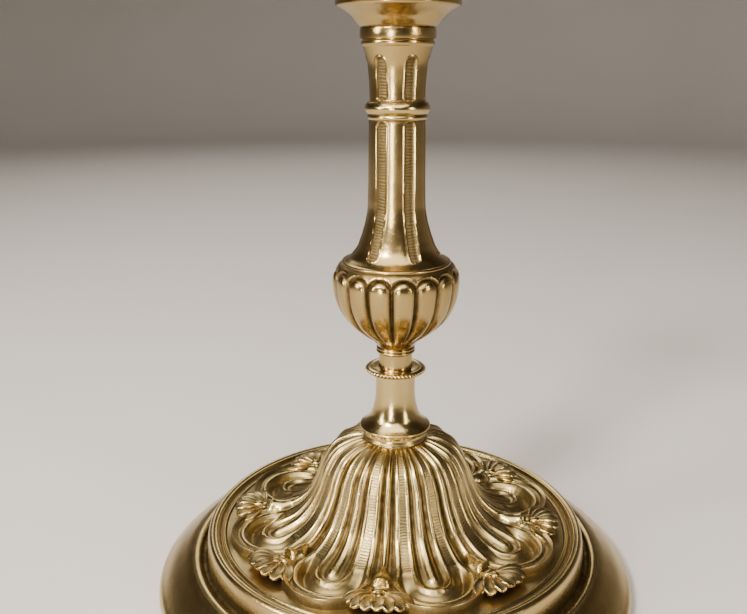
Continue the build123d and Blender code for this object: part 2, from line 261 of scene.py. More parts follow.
# %% Plan of the petals
PETALS = 8
FIRST_RIDGE = -5.1          # azimuth of the ridge nearest the front, degrees
HALF_PETAL = 180 / PETALS
CROWN_R = 10.0              # flat top of the bell, under the stem foot
RIB_END_R = 37.6            # where the rib in the middle of a petal ends
PETAL_HALF_W = 14.3         # from the rib's end out to the petal's rim
RIDGE_END_R = 40.6          # where the ridge between petals ends in its drop
LEDGE_R = 53.3              # outer edge of the ornamented casting
LEDGE_Z = 18.5

# The mean line of the bell and petals, as (radius, height) from the crown outwards.
BELL = [(CROWN_R, BASE_H), (14.4, BASE_H - 1.2), (18.2, BASE_H - 3.2), (21.8, BASE_H - 8.4),
        (24.3, BASE_H - 15.2), (27.9, BASE_H - 21.8), (32.6, BASE_H - 25.8), (37.6, BASE_H - 27.5),
        (44.0, BASE_H - 27.9), (54.0, BASE_H - 27.5)]

# Stations of g, from the rib (0) to the groove beside the ridge (1), with heights in mm.
ACROSS = [0.0, 0.07, 0.14, 0.20, 0.26, 0.31, 0.36, 0.41, 0.60, 0.66, 0.72, 0.78, 0.86, 0.94, 1.0]
ON_BELL = [0.85, 0.62, -0.20, -0.80, -0.55, 0.25, 0.36, 0.10, 0.02, 0.30, 0.20, -0.45, -0.95, -0.90,
           -0.80]
ON_SCOOP = [0.50, 0.15, -0.75, -1.20, -0.95, -0.05, -0.10, -1.30, -2.60, -0.95, -0.10, 0.15, -0.45,
            0.45, 0.75]


# %% Relief of the petals
def petal_field(r, azimuth):
    """g, and how far a point lies beyond the rib's end: both from the point's place in plan.

    side and out are the point's plan distances across and along the rib from the rib's end.
    Before the end, g is the angle from the rib over the half petal. After it, g is the plan
    distance from the end over the petal's half width. An ease joins the two, from 4 mm
    before the end to 2 mm past it.
    """
    turn = from_nearest(azimuth, PETALS, FIRST_RIDGE + HALF_PETAL)
    side = r * np.sin(np.radians(turn))
    out = r * np.cos(np.radians(turn)) - RIB_END_R
    by_angle = np.abs(turn) / HALF_PETAL
    by_distance = np.hypot(side, np.clip(out, 0, None)) / PETAL_HALF_W
    beyond = ease((out + 4.0) / 6.0)
    return by_angle * (1 - beyond) + by_distance * beyond, beyond


def petal_relief(r, azimuth):
    """Heights of the stations of g, plus the ridge and its drop.

    The relief is shallow at the crown and reaches its full strength 25 mm from the axis. The
    ridge is half an ellipse across. Its half width grows downwards, and again in the drop.
    Its crest is 0.5 mm high, plus 1.15 mm times the strength, plus 0.9 mm in the drop.
    """
    g, beyond = petal_field(r, azimuth)
    strength = 0.42 + 0.58 * ease((r - 11) / 14)
    bell = eased_stations(g, ACROSS, ON_BELL) * strength
    scoop = eased_stations(g, ACROSS, ON_SCOOP)
    lift = bell * (1 - beyond) + scoop * beyond
    from_ridge = np.abs(r * np.sin(np.radians(from_nearest(azimuth, PETALS, FIRST_RIDGE))))
    drop = ease((r - 33.0) / 4.0)
    half = 0.75 + 0.20 * ease((r - 14) / 16) + 1.25 * drop
    crest = np.sqrt(np.clip(1 - (from_ridge / (half * 1.25)) ** 2, 0, 1))
    stays = 1 - ease((r - RIDGE_END_R + 0.8) / 0.9)
    lift = lift + (1.15 * strength + 0.50 + 0.9 * drop) * crest * stays
    # Patina and painted shade: the low parts of the relief are darkened, less in the scoop.
    hollow = ease((0.06 - lift) / 0.50) * (1 - 0.55 * beyond)
    in_band = ease((g - 0.38) / 0.04) * (1 - ease((g - 0.60) / 0.04))
    matted = in_band * (1 - ease((r - 31) / 5)) * ease((r - 12) / 3)
    return lift, hollow, matted


# %% [markdown]
# ## The ornamented casting
#
# The bell and its petals are one grid of 768 columns. Down the bell, every column has the
# same rows. In the petals, the rows are stretched so that the last one lands on the rim of
# the petal, whose outline in plan is part of a circle round the rib's end, but never inside
# the ridge's drop. After the rim come a short wall, a ledge that runs out to the cove, and
# the rough inside of the casting.

# %% Base casting, top part
BELL_ROWS = 56
PETAL_ROWS = 50
COLUMNS = 96 * PETALS
PETAL_START_R = 30.0
WALL = 2.8
CROWN_UNDER = BASE_H - 6.0  # underside of the crown, which the rod's washer bears on
UNDER_LEDGE = LEDGE_Z - WALL
CAST_CREASE = 50
RIM_SHADE, LEDGE_SHADE, INSIDE_SHADE = 0.8, 0.35, 0.6


def rim_radius(azimuth):
    """Outline of the petals: the far crossing of a ray with the circle round the rib's end."""
    turn = np.radians(from_nearest(azimuth, PETALS, FIRST_RIDGE + HALF_PETAL))
    across = RIB_END_R * np.sin(turn)
    far = np.sqrt(np.clip(PETAL_HALF_W**2 - across**2, 0, None))
    return np.maximum(RIB_END_R * np.cos(turn) + far, RIDGE_END_R + 0.5)


def base_casting():
    """Rows of arc length on the bell's mean line, pushed along that line's outward normal."""
    azimuth = all_round(COLUMNS)
    line = through(*BELL[1:], count=400)(BELL[0])
    s = np.concatenate([[0], np.cumsum(np.linalg.norm(np.diff(line, axis=0), axis=1))])
    ahead = np.gradient(line, s, axis=0)
    start = np.interp(PETAL_START_R, line[:, 0], s)
    rim_s = np.interp(rim_radius(azimuth), line[:, 0], s)
    down = np.linspace(0, start, BELL_ROWS)[:, None] + 0 * azimuth
    out = start + np.linspace(0, 1, PETAL_ROWS + 1)[1:, None] * (rim_s - start)
    place = np.vstack([down, out])
    r, z = np.interp(place, s, line[:, 0]), np.interp(place, s, line[:, 1])
    lift, hollow, matted = petal_relief(r, azimuth)
    lift = lift * ease((r - CROWN_R + 0.4) / 2.0)
    radius = r - lift * np.interp(place, s, ahead[:, 1])
    height = z + lift * np.interp(place, s, ahead[:, 0])
    # The wall goes down from the rim, and the shelf out from its foot, both by shares.
    edge_r, edge_z = radius[-1:], height[-1:]
    wall = np.array([0.12, 0.35, 0.7, 1.0])[:, None]
    wall_r = edge_r + 0.5 * np.sin(wall * np.pi / 2)
    wall_z = edge_z + (LEDGE_Z + 0.3 - edge_z) * wall**1.3
    shelf = np.array([0.1, 0.4, 0.7, 1.0])[:, None]
    shelf_r = wall_r[-1:] + (LEDGE_R - wall_r[-1:]) * shelf
    shelf_z = LEDGE_Z + 0.3 * (1 - shelf)
    inside = section(
        (LEDGE_R, LEDGE_Z - 0.4), straight(LEDGE_R, UNDER_LEDGE),
        straight(36.0, UNDER_LEDGE - 0.8, count=4),
        through((24.6, BASE_H - 23.5), (20.3, BASE_H - 11.4), (14.0, CROWN_UNDER), count=9),
        straight(ROD_BORE_R, CROWN_UNDER),
        straight(ROD_BORE_R, BASE_H),
        straight(CROWN_R - 0.1, BASE_H))
    flat = np.ones_like(azimuth)
    radius = np.vstack([radius, wall_r, shelf_r * flat, inside[:, :1] * flat])
    height = np.vstack([height, wall_z, shelf_z * flat, inside[:, 1:] * flat])
    # Painted shade: fixed shares of dark on the wall under the petal rims, on the ledge and inside
    # the casting.
    shade = np.repeat([RIM_SHADE, LEDGE_SHADE, INSIDE_SHADE],
                      [len(wall), len(shelf), len(inside)])[:, None] * flat
    masks = {"hollow": np.vstack([hollow, shade]),
             "matted": np.vstack([matted, 0 * shade]),
             "along": np.vstack([place, 0 * shade])}
    thing = grid_mesh("base_casting", placed(radius, height, azimuth), masks)
    thing.data.set_sharp_from_angle(angle=math.radians(CAST_CREASE))
    return thing


casting = base_casting()


# %% [markdown]
# ## The mouldings round the foot
#
# Outside the petals the base is plainly turned. A thin raised line and a narrow cove come
# first, then a tall roll whose outer wall drops into a deep groove. A flat fillet follows,
# and a broad band slopes down to the table. All are smooth, so 288 columns are enough. The
# metal is hollow underneath, and the part stands on a narrow ring.

# %% Base mouldings
OVOLO_R = BASE_R - 11.3     # inner edge of the broad band
FILLET_R = OVOLO_R - 2.2
QUIRK_R = FILLET_R - 2.0    # inner wall of the deep groove
ROLL_R = QUIRK_R - 4.3      # inner edge of the roll
FILLET_Z = 12.6
QUIRK_Z = 11.6
LAND_R = BASE_R - 2.4       # inner edge of the ring that the base stands on
rim_section = section(
    (LEDGE_R, LEDGE_Z), straight(LEDGE_R + 0.2, LEDGE_Z + 0.1),
    bowed(LEDGE_R + 1.2, LEDGE_Z + 0.1, bow=0.40),
    bowed(ROLL_R + 0.9, LEDGE_Z + 0.6, bow=-0.42),
    bowed(ROLL_R + 1.8, LEDGE_Z + 1.1, bow=0.30, count=7),
    through((ROLL_R + 2.6, LEDGE_Z + 1.45), (QUIRK_R - 0.85, LEDGE_Z + 1.0),
            (QUIRK_R - 0.35, LEDGE_Z - 0.3), (QUIRK_R - 0.1, LEDGE_Z - 2.2),
            (QUIRK_R, QUIRK_Z + 2.4), (QUIRK_R, QUIRK_Z), count=30),
    bowed(FILLET_R, QUIRK_Z, bow=-0.45, count=8),
    straight(FILLET_R + 0.1, FILLET_Z, count=3),
    bowed(OVOLO_R - 0.1, FILLET_Z + 0.4, bow=0.30),
    straight(OVOLO_R, FILLET_Z),
    through((OVOLO_R + 1.5, 12.0), (OVOLO_R + 4.2, 10.3), (OVOLO_R + 7.0, 8.2),
            (OVOLO_R + 9.4, 5.9), (BASE_R - 0.45, 4.3), (BASE_R - 0.12, 3.0),
            (BASE_R - 0.2, 1.2), (BASE_R - 0.5, 0.35), count=40),
    bowed(BASE_R - 0.9, 0.0, bow=0.08, count=4),
    straight(LAND_R, 0.0),
    bowed(LAND_R - 0.3, 0.5, bow=0.05, count=3),
    through((LAND_R - 2.6, 3.6), (OVOLO_R - 1.0, 8.2), (QUIRK_R - WALL, 9.2),
            (QUIRK_R - WALL - 1.2, UNDER_LEDGE), count=16),
    straight(LEDGE_R - 0.2, UNDER_LEDGE, count=3),
    straight(LEDGE_R, LEDGE_Z, count=3))


def moulding_relief(r, z, azimuth):
    """No lift: only the shade that settles in the grooves between the mouldings.

    A groove is a radius and how far to each side of it the shade reaches.
    """
    grooves = [(LEDGE_R + 0.1, 0.6), (ROLL_R + 0.1, 0.7), (QUIRK_R + 1.0, 1.4), (OVOLO_R, 0.5)]
    near = np.stack([1 - ease(np.abs(r - at) / wide) for at, wide in grooves]).max(axis=0)
    deep = 1 - ease((z - QUIRK_Z + 0.2) / 3.5)
    in_quirk = (r > QUIRK_R - 0.4) & (r < FILLET_R + 0.2)
    inside = (np.roll(r, -1, 0) < r) & (z > 0.4)
    above_band = z > QUIRK_Z - 2.1
    hollow = np.maximum(near, deep * in_quirk) * above_band * (~inside) + INSIDE_SHADE * inside
    zero = 0 * r * azimuth
    return zero, hollow + zero, zero


PLAIN_COLUMNS = 288         # for wide parts with no relief
mouldings = turned("base_mouldings", rim_section, PLAIN_COLUMNS, moulding_relief)


# %% [markdown]
# ## Palmettes between the petals
#
# Where two petals meet, the caster put a small fan of seven lobes that grows from two knobs
# just past the ridge's drop. Each lobe is a spoon: wide and round at its tip, hollow along its
# middle, with a thin raised edge. One spoon is a grid of rings along a bent line. The first
# and last ring shrink to a point, and those points are merged, which closes the mesh.

# %% Palmette layout
ROOT_R = 42.7
ROOT_Z = 20.3
# Degrees from straight out, length, half width and rise; all but the first are mirrored.
LOBES = [(0, 9.4, 2.2, 1.8), (27, 9.8, 2.2, 1.6), (53, 10.4, 2.2, 1.2), (78, 11.0, 2.0, 0.8)]
# Centres and radii of two knobs: across, out and up from the root.
KNOBS = [((0, -0.2, 0.5), (2.4, 1.3, 1.1)), ((0, 1.9, 1.0), (1.4, 1.8, 1.0))]
LEAF_SHADE = 0.55
LOBE_ROWS = 18
LOBE_RING = 20


# %% One lobe and one knob
def lobe(turn, length, half, rise):
    """A spoon that leaves the root at `turn` degrees from straight out.

    t runs along the lobe and the ring angle q round it. The half width is half times
    sin(pi t^1.9) to the power 0.6, so the tip is broad. The top is a hollow between two
    edges: the root of |sin q| times 0.30 + 0.70 cos^2 q of the thickness. The line climbs by
    1.25 of `rise` and droops at its tip by t^4 mm.
    """
    t = np.linspace(0, 1, LOBE_ROWS)[:, None]
    q = np.linspace(0, 2 * np.pi, LOBE_RING, endpoint=False)[None, :]
    width = half * np.sin(np.pi * t**1.9) ** 0.6
    thick = 1.35 * np.sin(np.pi * t**1.1) ** 0.55
    top = thick * np.sqrt(np.abs(np.sin(q))) * (0.30 + 0.70 * np.cos(q) ** 2)
    under = -1.5 * thick * np.abs(np.sin(q))
    bend = np.radians(turn) * (1.0 - 0.18 * t)
    middle = length * t
    height = rise * np.sin(0.5 * np.pi * t) * 1.25 - 1.0 * t**4
    u = middle * np.sin(bend) + width * np.cos(q) * np.cos(bend)
    v = middle * np.cos(bend) - width * np.cos(q) * np.sin(bend)
    w = height + np.where(np.sin(q) >= 0, top, under)
    # Painted shade on the leaves: dark along the spoon's hollow, fading to its edges, and 0.6 all
    # over the underside.
    dip = np.where(np.sin(q) > 0, 1 - ease(np.abs(np.cos(q)) / 0.75), 0.6)
    return u, v, w, dip + 0 * u


def knob(centre, radii):
    """An ellipsoid as the same kind of grid: rings from one end to the other."""
    t = np.linspace(0, np.pi, LOBE_ROWS)[:, None]
    q = np.linspace(0, 2 * np.pi, LOBE_RING, endpoint=False)[None, :]
    u = centre[0] + radii[0] * np.sin(t) * np.cos(q)
    v = centre[1] - radii[1] * np.cos(t) + 0 * q
    w = centre[2] + radii[2] * np.sin(t) * np.sin(q)
    return u, v, w, 0 * u


# %% Eight palmettes in one mesh
def palmettes():
    """Each grid is laid out at every ridge azimuth at once: x and y turn by that azimuth."""
    shapes = [knob(centre, radii) for centre, radii in KNOBS]
    shapes += [lobe(side * turn, *rest) for turn, *rest in LOBES for side in (1, -1)
               if turn or side > 0]
    u, v, w, dip = (np.stack(part)[None] for part in zip(*shapes))
    a = np.radians(FIRST_RIDGE + np.arange(PETALS) * 360 / PETALS)[:, None, None, None]
    r = ROOT_R + v
    x = r * np.sin(a) + u * np.cos(a)
    y = -r * np.cos(a) + u * np.sin(a)
    z = ROOT_Z + w + 0 * a
    points = np.stack([x, y, z], axis=-1)
    n = PETALS * len(shapes)
    grid = np.arange(n * LOBE_ROWS * LOBE_RING).reshape(n, LOBE_ROWS, LOBE_RING)
    beside = np.roll(grid, -1, axis=2)
    quads = np.stack([grid[:, :-1], beside[:, :-1], beside[:, 1:], grid[:, 1:]], axis=-1)
    masks = {"hollow": LEAF_SHADE * dip + 0 * a, "matted": 0 * x, "along": 0 * x}
    thing = mesh_object("palmettes", points.reshape(-1, 3), quads.reshape(-1, 4), masks)
    shape = bmesh.new()
    shape.from_mesh(thing.data)
    bmesh.ops.remove_doubles(shape, verts=shape.verts, dist=0.01 * MM)
    bmesh.ops.recalc_face_normals(shape, faces=shape.faces)
    shape.to_mesh(thing.data)
    shape.free()
    return thing


leaves = palmettes()

# %% [markdown]
# ## Stem foot and beaded collar
#
# The lowest stem section is plain turned work: a hollow, a thin flange with a crisp edge, and
# a trumpet that narrows upwards. The collar above it is a thin disc. The lower part of its
# edge is cut into beads, so its relief is a rounded wave of the azimuth, there alone.


# %% Stem foot
FOOT_SEAT_R = 9.9           # lowest edge of the foot, on the base's crown
FOOT_TOP_R = 6.05
STEM_COLUMNS = 192          # for slim parts with no relief


def bore(top, bottom):
    """Three runs up the middle: under the part, up its bore, and out to its top's edge."""
    return (straight(ROD_BORE_R, bottom, count=3), straight(ROD_BORE_R, top[1], count=3),
            straight(*top))


def seam_shade(low, high, wide):
    """A relief that lifts nothing and darkens the last `wide` mm beside both joints."""
    def relief(r, z, azimuth):
        near = np.minimum(np.abs(z - low), np.abs(z - high))
        outside = r > ROD_BORE_R + 0.5
        hollow = (1 - ease(near / wide)) * 0.55 * outside + 0.5 * (~outside)
        zero = 0 * r * azimuth
        return zero, hollow + zero, zero
    return relief


def foot_section():
    """Trumpet, flange and hollow, from the collar down to the base's crown."""
    z = BASE_H
    top = (FOOT_TOP_R, COLLAR_Z)
    above = section(
        top,
        through((6.0, z + 17.0), (6.05, z + 14.0), (6.4, z + 11.2), (7.0, z + 8.8),
                (7.9, z + 6.6), (9.2, z + 5.1), (10.6, z + 4.1), count=44),
        bowed(10.9, z + 3.8, bow=0.05, count=4),
        bowed(10.7, z + 3.2, bow=0.10, count=5))
    # The underside starts 0.1 mm above the end of the lip, so that the lip's edge stays crisp.
    below = section(
        (10.7, z + 3.3), straight(FOOT_SEAT_R, z + 3.2, count=3),
        bowed(FOOT_SEAT_R, z + 0.25, bow=-0.55, count=12),
        straight(FOOT_SEAT_R, z),
        *bore(top, z))
    return np.vstack([above, below])


foot = turned("stem_foot", foot_section(), STEM_COLUMNS,
              seam_shade(BASE_H + 0.6, BASE_H + 3.1, 0.9))

# %% Beaded collar
COLLAR_R = reach("beaded_collar")
BEADS = 48
BEAD_TOP = COLLAR_Z + 1.1   # the beads end at this height
BEAD_DEEP = 0.7


def bead_relief(r, z, azimuth):
    """A rectified wave, |cos| of half the bead angle, minus one: bumps with sharp valleys."""
    wave = np.abs(np.cos(np.radians(azimuth) * BEADS / 2)) - 1
    at_edge = ease((r - COLLAR_R + 1.3) / 0.6) * (1 - ease((z - BEAD_TOP) / 0.35))
    # Patina and painted shade: the valleys between the beads are darkened.
    valley = ease(-wave / 0.8) * at_edge
    return BEAD_DEEP * wave * at_edge, 0.9 * valley, 0 * wave * at_edge


def collar_section():
    """A disc with a round edge and a shallow dish on top, standing round the neck."""
    low, high = COLLAR_Z, BULB_Z
    edge = COLLAR_R - 1.0
    top = (5.4, high)
    return section(
        top, straight(edge - 1.2, high - 0.15, count=6),
        bowed(edge, high - 0.1, bow=0.1, count=5),
        bowed(edge, low + 0.1, bow=0.95, count=15),
        straight(6.4, low, count=8),
        *bore(top, low))


collar = turned("beaded_collar", collar_section(), 14 * BEADS, bead_relief)

# %% [markdown]
# ## The gadrooned bulb
#
# Gadroons are convex lobes side by side, here sixteen, each with a round arch at its top. The
# distance to the lobe's middle line, or above the arch's centre to that centre, divided by
# the lobe's half width, is one number that says where a point is on its lobe. As on the base,
# a list of heights at stations of that number draws the lobe, its groove and a thin outline.

# %% Bulb
GADROONS = 16
GADROON_FIRST = 7.2         # azimuth of the one nearest the front, degrees
ARCH_CENTRE_Z = SHAFT_Z - 4.8
GADROON_LOW_Z = BULB_Z + 7.8  # the gadroons fade in from here
BULB_R = 18.0
FROM_LOBE = [0, 0.3, 0.55, 0.76, 0.92, 1.0, 1.10, 1.2, 1.32, 1.5]
ON_LOBE = [0.50, 0.46, 0.32, -0.02, -0.60, -0.95, -0.25, 0.10, 0.08, 0.0]


def gadroon_relief(r, z, azimuth):
    """d is capsule distance over half width; heights shrink with the radius to the neck."""
    half = 0.99 * np.pi * r / GADROONS
    side = r * np.sin(np.radians(from_nearest(azimuth, GADROONS, GADROON_FIRST)))
    above = np.clip(z - ARCH_CENTRE_Z, 0, None)
    d = np.hypot(side, above) / half
    lobe_lift = eased_stations(d, FROM_LOBE, ON_LOBE)
    on_bulb = ease((z - GADROON_LOW_Z) / 3.0) * (r > 5.4)
    size = np.clip(r / BULB_R, 0, 1) ** 0.8
    lift = lobe_lift * on_bulb * size
    # Patina and painted shade: dark in each groove and down the sides of every lobe.
    hollow = ease((0.30 - lift) / 0.70) * on_bulb * (lobe_lift < 0.36)
    # Painted shade beside the joint under the shaft's fillet ring.
    joint_shade = 1 - ease(np.abs(z - SHAFT_Z + 0.1) / 0.6)
    return lift, np.maximum(hollow, 0.8 * joint_shade) * (r > ROD_BORE_R + 1), 0 * lift


def bulb_section():
    """Shoulder, bowl, double ring and neck, from the shaft down to the collar."""
    z = BULB_Z
    top = (15.6, SHAFT_Z)
    return section(
        top, straight(16.2, SHAFT_Z),
        through((16.9, SHAFT_Z - 0.5), (17.5, SHAFT_Z - 1.4), (18.1, SHAFT_Z - 2.8),
                (18.37, SHAFT_Z - 4.8), (18.2, SHAFT_Z - 7.4), (17.6, SHAFT_Z - 10.8),
                (16.4, SHAFT_Z - 13.9), (14.6, SHAFT_Z - 16.8), (12.4, SHAFT_Z - 19.2),
                (9.8, SHAFT_Z - 21.4), (7.4, SHAFT_Z - 23.3), (6.0, z + 7.2),
                (5.5, z + 6.4), count=92),
        bowed(5.5, z + 5.5, bow=0.35, count=7),
        bowed(5.5, z + 4.5, bow=0.40, count=7),
        straight(5.1, z + 4.3),
        bowed(5.2, z, bow=-0.08, count=7),
        *bore(top, z))


bulb = turned("bulb", bulb_section(), 36 * GADROONS, gadroon_relief)

# %% [markdown]
# ## Shaft, knop ring and capital
#
# Shaft and capital carry six channels with arched tops. Again the capsule distance does the
# work: a channel's floor is flat and textured, its wall is steep, and a thin raised line runs
# round its edge. The floor is marked `matted`, and the material cuts its rungs.

# %% Channels
CHANNELS = 6
CHANNEL_FIRST = 26.0        # azimuth of one of them, degrees
CHANNEL_HALF = 1.62
FROM_CHANNEL = [0, 1.15, 1.55, 1.75, 1.95, 2.2]
ON_CHANNEL = [-0.62, -0.72, -0.05, 0.16, 0.08, 0.0]
STEM_FINE = 384             # columns, so that a channel's wall gets several


def channels(low, high):
    """A relief with channels between two heights: a full arch on top, a flat one below."""
    def relief(r, z, azimuth):
        outside = r > ROD_BORE_R + 1
        side = r * np.sin(np.radians(from_nearest(azimuth, CHANNELS, CHANNEL_FIRST)))
        above = np.clip(z - (high - CHANNEL_HALF), 0, None)
        below = np.clip(low - z, 0, None) * 2.5
        d = np.hypot(side, np.maximum(above, below))
        lift = eased_stations(d, FROM_CHANNEL, ON_CHANNEL) * outside
        matted = (1 - ease((d - 1.20) / 0.2)) * outside
        # Patina and painted shade on the channel floors.
        hollow = ease((-lift - 0.15) / 0.5)
        # Painted shadow beside the knop ring, under it on the shaft and over it on the capital.
        joint_shade = 1 - ease(np.minimum(np.abs(z - KNOP_Z), np.abs(z - CAPITAL_Z)) / 0.8)
        return lift, np.maximum(hollow, 0.7 * joint_shade), matted
    return relief


# %% Shaft
def shaft_section():
    """Slim neck that flares to a fillet ring on the bulb's shoulder."""
    z = SHAFT_Z
    top = (7.9, KNOP_Z)
    return section(
        top,
        through((7.95, z + 38.0), (8.05, z + 30.0), (8.12, z + 23.0), (8.25, z + 19.2),
                (8.45, z + 15.5), (8.95, z + 12.6), (9.75, z + 9.6), (10.7, z + 6.7),
                (11.9, z + 4.0), (13.3, z + 2.3), (15.0, z + 1.15), count=210),
        bowed(15.6, z + 0.95, bow=-0.05, count=4),
        bowed(16.0, z + 0.1, bow=0.25, count=8),
        straight(15.7, z),
        *bore(top, z))


shaft = turned("shaft", shaft_section(), STEM_FINE, channels(SHAFT_Z + 3.2, KNOP_Z - 0.1))

# %% Knop ring
KNOP_R = reach("knop_ring")


def knop_section():
    """A full half-round above a small step."""
    low, high = KNOP_Z, CAPITAL_Z
    top = (7.7, high)
    return section(
        top, straight(8.2, high),
        bowed(8.2, low + 1.5, bow=KNOP_R - 8.25, count=22),
        straight(8.3, low + 1.4),
        bowed(8.1, low + 0.1, bow=0.35),
        straight(7.8, low),
        *bore(top, low))


knop = turned("knop_ring", knop_section(), STEM_COLUMNS,
              seam_shade(KNOP_Z + 1.5, CAPITAL_Z, 0.45))


# %% Capital
def capital_section():
    """The channelled neck, an ovolo that spreads, and a plain band under the nozzle."""
    low, high = CAPITAL_Z, NOZZLE_Z
    top = (9.8, high)
    return section(
        top, straight(10.3, high),
        bowed(10.45, high - 0.35, bow=0.05, count=3),
        bowed(10.45, high - 2.9, bow=0.10, count=10),
        straight(9.75, high - 3.1),
        bowed(10.1, high - 3.5, bow=-0.1, count=4),
        bowed(9.7, high - 4.9, bow=0.25, count=8),
        through((9.0, high - 7.0), (8.35, high - 9.4), (8.0, high - 12.6), (7.8, low + 4.0),
                (7.75, low + 0.6), count=90),
        bowed(7.75, low, bow=0.12, count=4),
        *bore(top, low))


capital = turned("capital", capital_section(), STEM_FINE,
                 channels(CAPITAL_Z + 1.2, CAPITAL_Z + 12.0))

# %% [markdown]
# ## Nozzle and drip pan
#
# The nozzle opens from the capital like a trumpet into a saucer, whose edge is a plain
# band. Above it the cup holds the drip pan's sleeve. The drip pan is a separate thin casting
# that lifts out for cleaning, so it rides on its own body of the frame. Its sleeve stands a
# little clear of the cup all round.

# %% Nozzle
CUP_BORE_R = 12.3
CUP_FLOOR_Z = NOZZLE_Z + 9.0
ROD_R = 2.5                 # the rod is screwed into the nozzle
CUP_FLUTES = 12
FLUTE_DEEP = 0.8


def cup_relief(r, z, azimuth):
    """Twelve shallow gadroons round the cup, dying out towards the saucer and the lip."""
    turn = from_nearest(azimuth, CUP_FLUTES, 0) / (180 / CUP_FLUTES)
    wave = np.sqrt(np.clip(1 - (turn * 0.97) ** 2, 0, 1)) - 1
    on_cup = ease((z - NOZZLE_Z - 11) / 3) * (1 - ease((z - NOZZLE_Z - 27) / 4))
    on_cup = on_cup * (r > CUP_BORE_R + 0.5)
    lift = FLUTE_DEEP * wave * on_cup
    # Painted shade at the foot of the nozzle, where it meets the capital.
    joint_shade = 1 - ease(np.abs(z - NOZZLE_Z) / 0.7)
    # Patina and painted shade in the lows of the flutes.
    return lift, np.maximum(ease((-lift - 0.3) / 0.5), 0.5 * joint_shade * (r > 9)), 0 * lift


def nozzle_section():
    """Lip, cup, saucer and trumpet, then up the rod's hole and round the socket."""
    z = NOZZLE_Z
    rim = z + 5.8
    return section(
        (CUP_BORE_R, LIP_Z), straight(15.9, LIP_Z, count=4),
        bowed(16.4, LIP_Z - 1.2, bow=0.25, count=7),
        through((15.5, LIP_Z - 2.8), (14.7, LIP_Z - 4.4), (15.0, LIP_Z - 9.0),
                (15.1, LIP_Z - 15.0), (14.7, LIP_Z - 21.0), (14.0, z + 12.4),
                (13.9, z + 10.6), count=52),
        through((14.3, z + 9.3), (15.4, z + 8.7), (16.6, z + 8.4), count=9),
        bowed(17.1, z + 7.9, bow=0.12, count=5),
        bowed(17.2, rim, bow=0.10, count=8),
        bowed(16.7, rim - 0.5, bow=0.10, count=4),
        through((14.9, rim - 1.5), (13.2, z + 3.0), (12.0, z + 1.6), (11.1, z + 0.7),
                (10.2, z), count=26),
        straight(ROD_R, z, count=3),
        straight(ROD_R, CUP_FLOOR_Z - 0.1, count=3),
        straight(CUP_BORE_R, CUP_FLOOR_Z, count=4),
        straight(CUP_BORE_R, LIP_Z, count=8))


nozzle = turned("nozzle", nozzle_section(), STEM_FINE, cup_relief)

# %% Drip pan
SLEEVE_R = 12.15
CANDLE_R = 11.25
PAN_R = reach("drip_pan")
PAN_FOOT_R = SLEEVE_R + 5.0  # the pan rests on the lip inside this radius
PAN_FOOT_Z = LIP_Z + 0.02


def pan_section():
    """Bead, dish, socket and sleeve: a thin wall that goes right round the candle's hole."""
    return section(
        (PAN_R - 1.9, PAN_TOP - 0.6), bowed(PAN_R - 0.7, PAN_TOP - 0.35, bow=0.38, count=8),
        bowed(PAN_R - 0.8, PAN_TOP - 1.7, bow=0.68, count=12),
        through((PAN_R - 4.0, LIP_Z + 1.0), (PAN_FOOT_R + 1.5, LIP_Z + 0.15),
                (PAN_FOOT_R, PAN_FOOT_Z), count=20),
        straight(SLEEVE_R, PAN_FOOT_Z, count=5),
        straight(SLEEVE_R, PAN_LOW, count=8),
        straight(CANDLE_R, PAN_LOW, count=3),
        straight(CANDLE_R, LIP_Z + 1.4, count=9),
        bowed(CANDLE_R + 1.8, LIP_Z + 1.7, bow=0.5, count=8),
        through((CANDLE_R + 6.5, LIP_Z + 1.35), (PAN_R - 4.6, LIP_Z + 2.3),
                (PAN_R - 1.9, PAN_TOP - 0.6), count=24))


def pan_shade(r, z, azimuth):
    """Darker inside the socket and towards the middle of the dish."""
    zero = 0 * r * azimuth
    inside = 0.8 * (r < CANDLE_R + 0.2) + 0.35 * (1 - ease((r - CANDLE_R) / 7))
    return zero, inside + zero, zero


pan = turned("drip_pan", pan_section(), PLAIN_COLUMNS, pan_shade)

# %% [markdown]
# ## Materials
#
# Old polished brass is pale gold where cloths reach and olive brown where polish and wax have
# settled. That needs the same four effects on every brass part, so each is a shader node
# group: the patina and shade group mixes the colours by the `hollow` value and by broad
# stains, `wear` is the fine height of casting pits and rubbed scratches, `rungs` is the
# chaser's texture on the `matted` parts, and `turning` is the fine rings of the lathe. The
# olive brown that `hollow` brings in is patina, and also painted shade in recesses, under
# rims, inside the castings and beside joints. Noise scales are in features per metre. The
# Principled shader, with its plain numbers, stays in each material.


# %% Making nodes
def add(tree, kind, inputs=(), **settings):
    """A node with its settings and inputs; an input is a number, a colour or another socket."""
    node = tree.nodes.new(kind)
    for key, value in settings.items():
        setattr(node, key, value)
    for key, value in dict(inputs).items():
        if isinstance(value, bpy.types.NodeSocket):
            tree.links.new(value, node.inputs[key])
        else:
            node.inputs[key].default_value = value
    return node


def math_node(tree, operation, *values, clamp=False):
    """The result socket of one Math node."""
    node = add(tree, "ShaderNodeMath", dict(enumerate(values)), operation=operation)
    node.use_clamp = clamp
    return node.outputs[0]


def remap(tree, value, low, high):
    """A smooth rise from 0 at low to 1 at high, held at both ends."""
    return add(tree, "ShaderNodeMapRange", {0: value, 1: low, 2: high},
               interpolation_type="SMOOTHSTEP").outputs[0]


def blend(tree, share, first, second):
    """A colour mix; `share` runs from the first colour to the second."""
    node = add(tree, "ShaderNodeMix", {0: share, 6: first, 7: second}, data_type="RGBA")
    return node.outputs[2]


